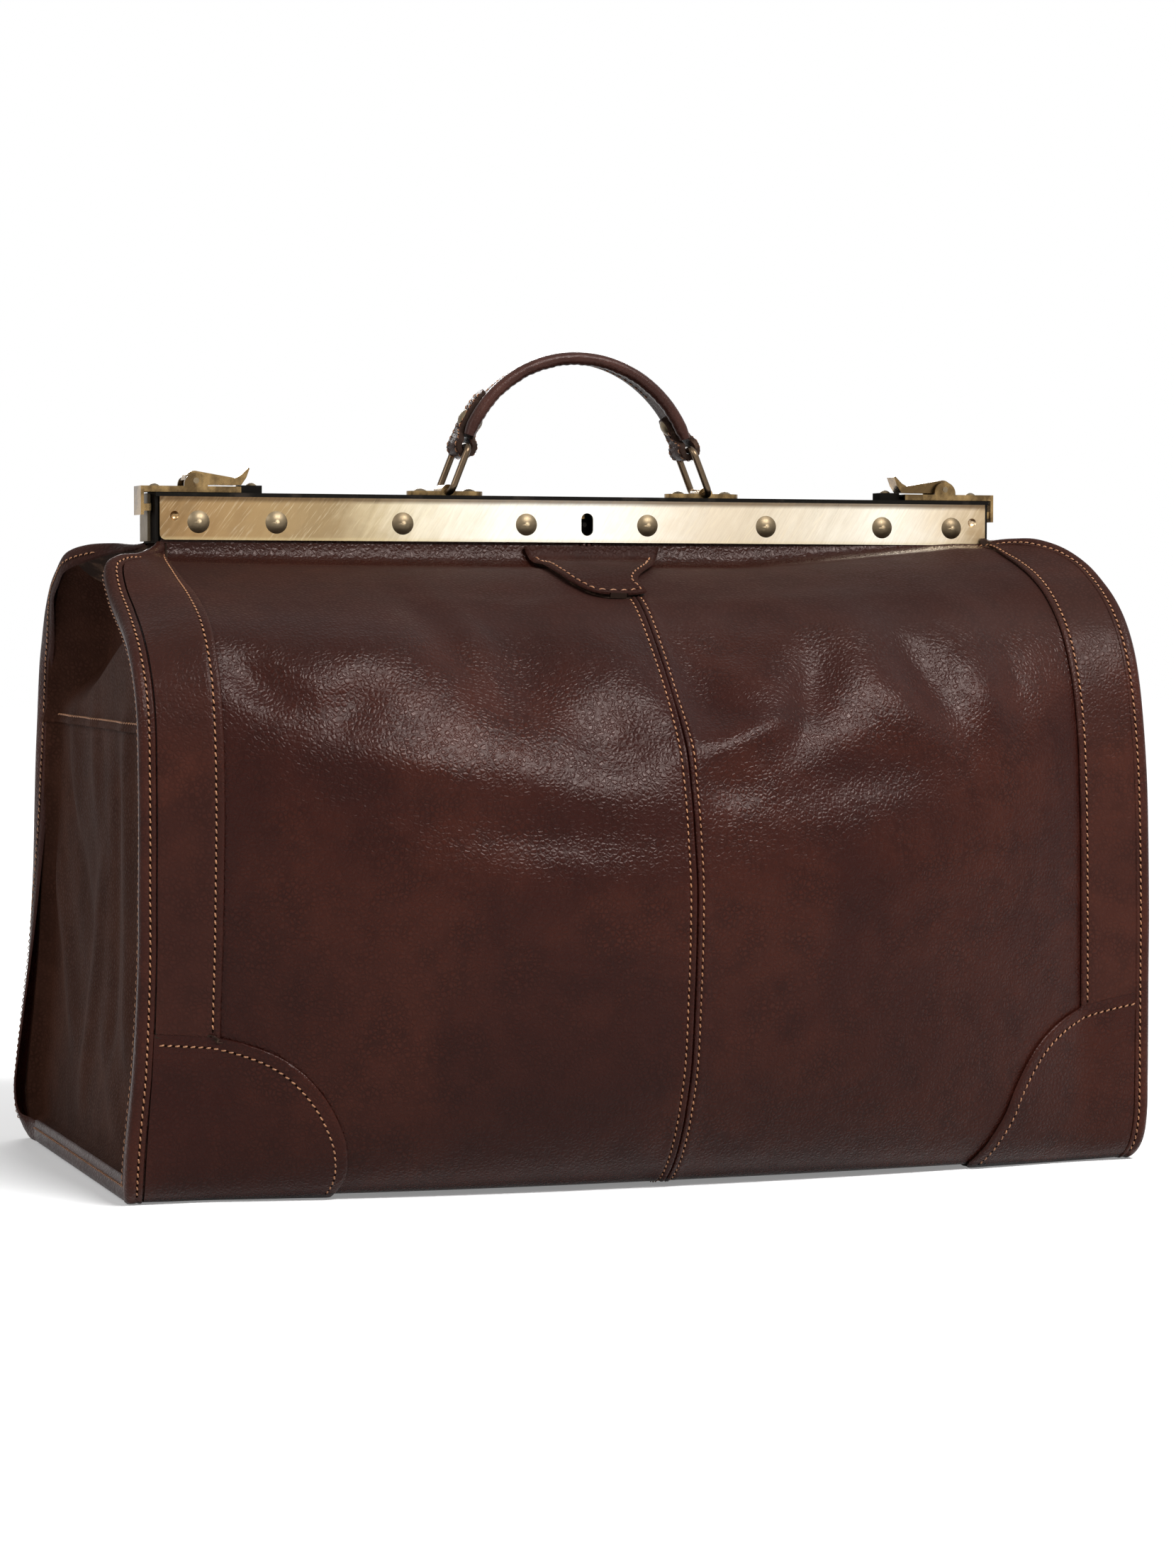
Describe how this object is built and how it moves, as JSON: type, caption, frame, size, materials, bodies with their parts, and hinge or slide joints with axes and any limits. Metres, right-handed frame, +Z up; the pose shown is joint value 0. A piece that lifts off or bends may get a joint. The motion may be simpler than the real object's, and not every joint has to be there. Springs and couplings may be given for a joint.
{
  "type": "travel bag",
  "caption": "Upright leather travel bag with a riveted metal mouth frame that opens in two hinged halves, end lever latches, a keyhole lock and a rolled arched handle.",
  "frame": {"origin": "on the floor, under the middle of the bag", "axes": "+X along the bag to the viewer's right, -Y towards the front with the keyhole, +Z up"},
  "size_m": [0.52, 0.354, 0.4131],
  "materials": {
    "leather": "glossy pull-up leather, dark red-brown",
    "dark_leather": "smooth dark brown leather",
    "strap_leather": "thick raw-edged strap leather",
    "handle_leather": "polished rolled leather",
    "lining_cloth": "woven cotton lining",
    "board": "grey-brown stiffening board",
    "cord": "cotton cord",
    "antique_brass": "brushed antique brass",
    "bronze": "dark aged bronze",
    "black_steel": "black painted steel"
  },
  "bodies": {
    "bag_body": {"front_panel_left": "leather", "front_panel_right": "leather", "back_panel_left": "leather", "back_panel_right": "leather", "side_band_front_left": "leather", "side_band_front_right": "leather", "side_band_back_left": "leather", "side_band_back_right": "leather", "corner_patch_front_left": "dark_leather", "corner_patch_front_right": "dark_leather", "corner_patch_back_left": "dark_leather", "corner_patch_back_right": "dark_leather", "edge_binding_left": "leather", "edge_binding_right": "leather", "gusset_left_lower": "dark_leather", "gusset_left_upper": "dark_leather", "gusset_right_lower": "dark_leather", "gusset_right_upper": "dark_leather", "base_panel": "leather", "base_board": "board", "lining_body": "lining_cloth", "lining_front": "lining_cloth", "lining_back": "lining_cloth", "lock_tab": "leather"},
    "front_frame": {"front_bar": "black_steel", "front_plate": "antique_brass", "front_rivets": "bronze", "front_arms": "black_steel", "lock_case": "bronze"},
    "lock_bolt": {"lock_bolt": "antique_brass"},
    "back_frame": {"back_bar": "black_steel", "back_plate": "antique_brass", "back_rivets": "bronze", "back_arms": "black_steel", "end_caps": "antique_brass", "hinge_pins": "bronze", "lock_keeper": "black_steel", "latch_base_left": "bronze", "latch_base_right": "bronze", "latch_rivets": "bronze", "ring_plate_left": "antique_brass", "ring_plate_right": "antique_brass", "ring_plate_rivets": "bronze"},
    "latch_hook_left": {"latch_hook_left": "antique_brass", "latch_pin_left": "bronze"},
    "latch_hook_right": {"latch_hook_right": "antique_brass", "latch_pin_right": "bronze"},
    "latch_lever_left": {"latch_lever_left": "antique_brass"},
    "latch_lever_right": {"latch_lever_right": "antique_brass"},
    "ring_left": {"ring_left": "bronze"},
    "ring_right": {"ring_right": "bronze"},
    "handle": {"handle_grip": "handle_leather", "handle_core": "cord", "handle_strap_left": "strap_leather", "handle_strap_right": "strap_leather", "handle_rivets": "bronze"}
  },
  "joints": [
    {"name": "front_frame_hinge", "type": "hinge", "parent": "bag_body", "child": "front_frame", "pos_m": [0, 0, 0.224], "axis": [1, 0, 0], "range_deg": [0, 75], "deforming": ["front_panel_left", "front_panel_right", "side_band_front_left", "side_band_front_right", "lining_front", "lock_tab", "gusset_left_upper", "gusset_right_upper", "edge_binding_left", "edge_binding_right"]},
    {"name": "back_frame_hinge", "type": "hinge", "parent": "bag_body", "child": "back_frame", "pos_m": [0, 0, 0.224], "axis": [-1, 0, 0], "range_deg": [0, 75], "deforming": ["back_panel_left", "back_panel_right", "side_band_back_left", "side_band_back_right", "lining_back"]},
    {"name": "lock_bolt_slide", "type": "slide", "parent": "front_frame", "child": "lock_bolt", "axis": [1, 0, 0], "range_m": [0, 0.006]},
    {"name": "latch_left_slide", "type": "slide", "parent": "back_frame", "child": "latch_hook_left", "axis": [-1, 0, 0], "range_m": [0, 0.0032]},
    {"name": "latch_left_lever", "type": "hinge", "parent": "latch_hook_left", "child": "latch_lever_left", "pos_m": [-0.203, 0, 0.3441], "axis": [0, -1, 0], "range_deg": [0, 65]},
    {"name": "latch_right_slide", "type": "slide", "parent": "back_frame", "child": "latch_hook_right", "axis": [1, 0, 0], "range_m": [0, 0.0032]},
    {"name": "latch_right_lever", "type": "hinge", "parent": "latch_hook_right", "child": "latch_lever_right", "pos_m": [0.203, 0, 0.3441], "axis": [0, 1, 0], "range_deg": [0, 65]},
    {"name": "ring_left_swing", "type": "hinge", "parent": "back_frame", "child": "ring_left", "pos_m": [-0.07, 0.006, 0.3401], "axis": [0, -1, 0], "range_deg": [-12, 12]},
    {"name": "handle_sway", "type": "hinge", "parent": "ring_left", "child": "handle", "pos_m": [-0.06065, 0.006, 0.3635], "axis": [0, -1, 0], "range_deg": [-14, 14]},
    {"name": "ring_right_swing", "type": "hinge", "parent": "back_frame", "child": "ring_right", "pos_m": [0.07, 0.006, 0.3401], "axis": [0, -1, 0], "range_deg": [-12, 12]}
  ],
  "couplings": [
    {"joint": "latch_left_slide", "follows": "latch_left_lever", "m_per_rad": 0.002644},
    {"joint": "latch_right_slide", "follows": "latch_right_lever", "m_per_rad": 0.002644},
    {"joint": "ring_right_swing", "follows": "ring_left_swing", "ratio": 1},
    {"joint": "handle_sway", "follows": "ring_left_swing", "ratio": -1.153}
  ]
}
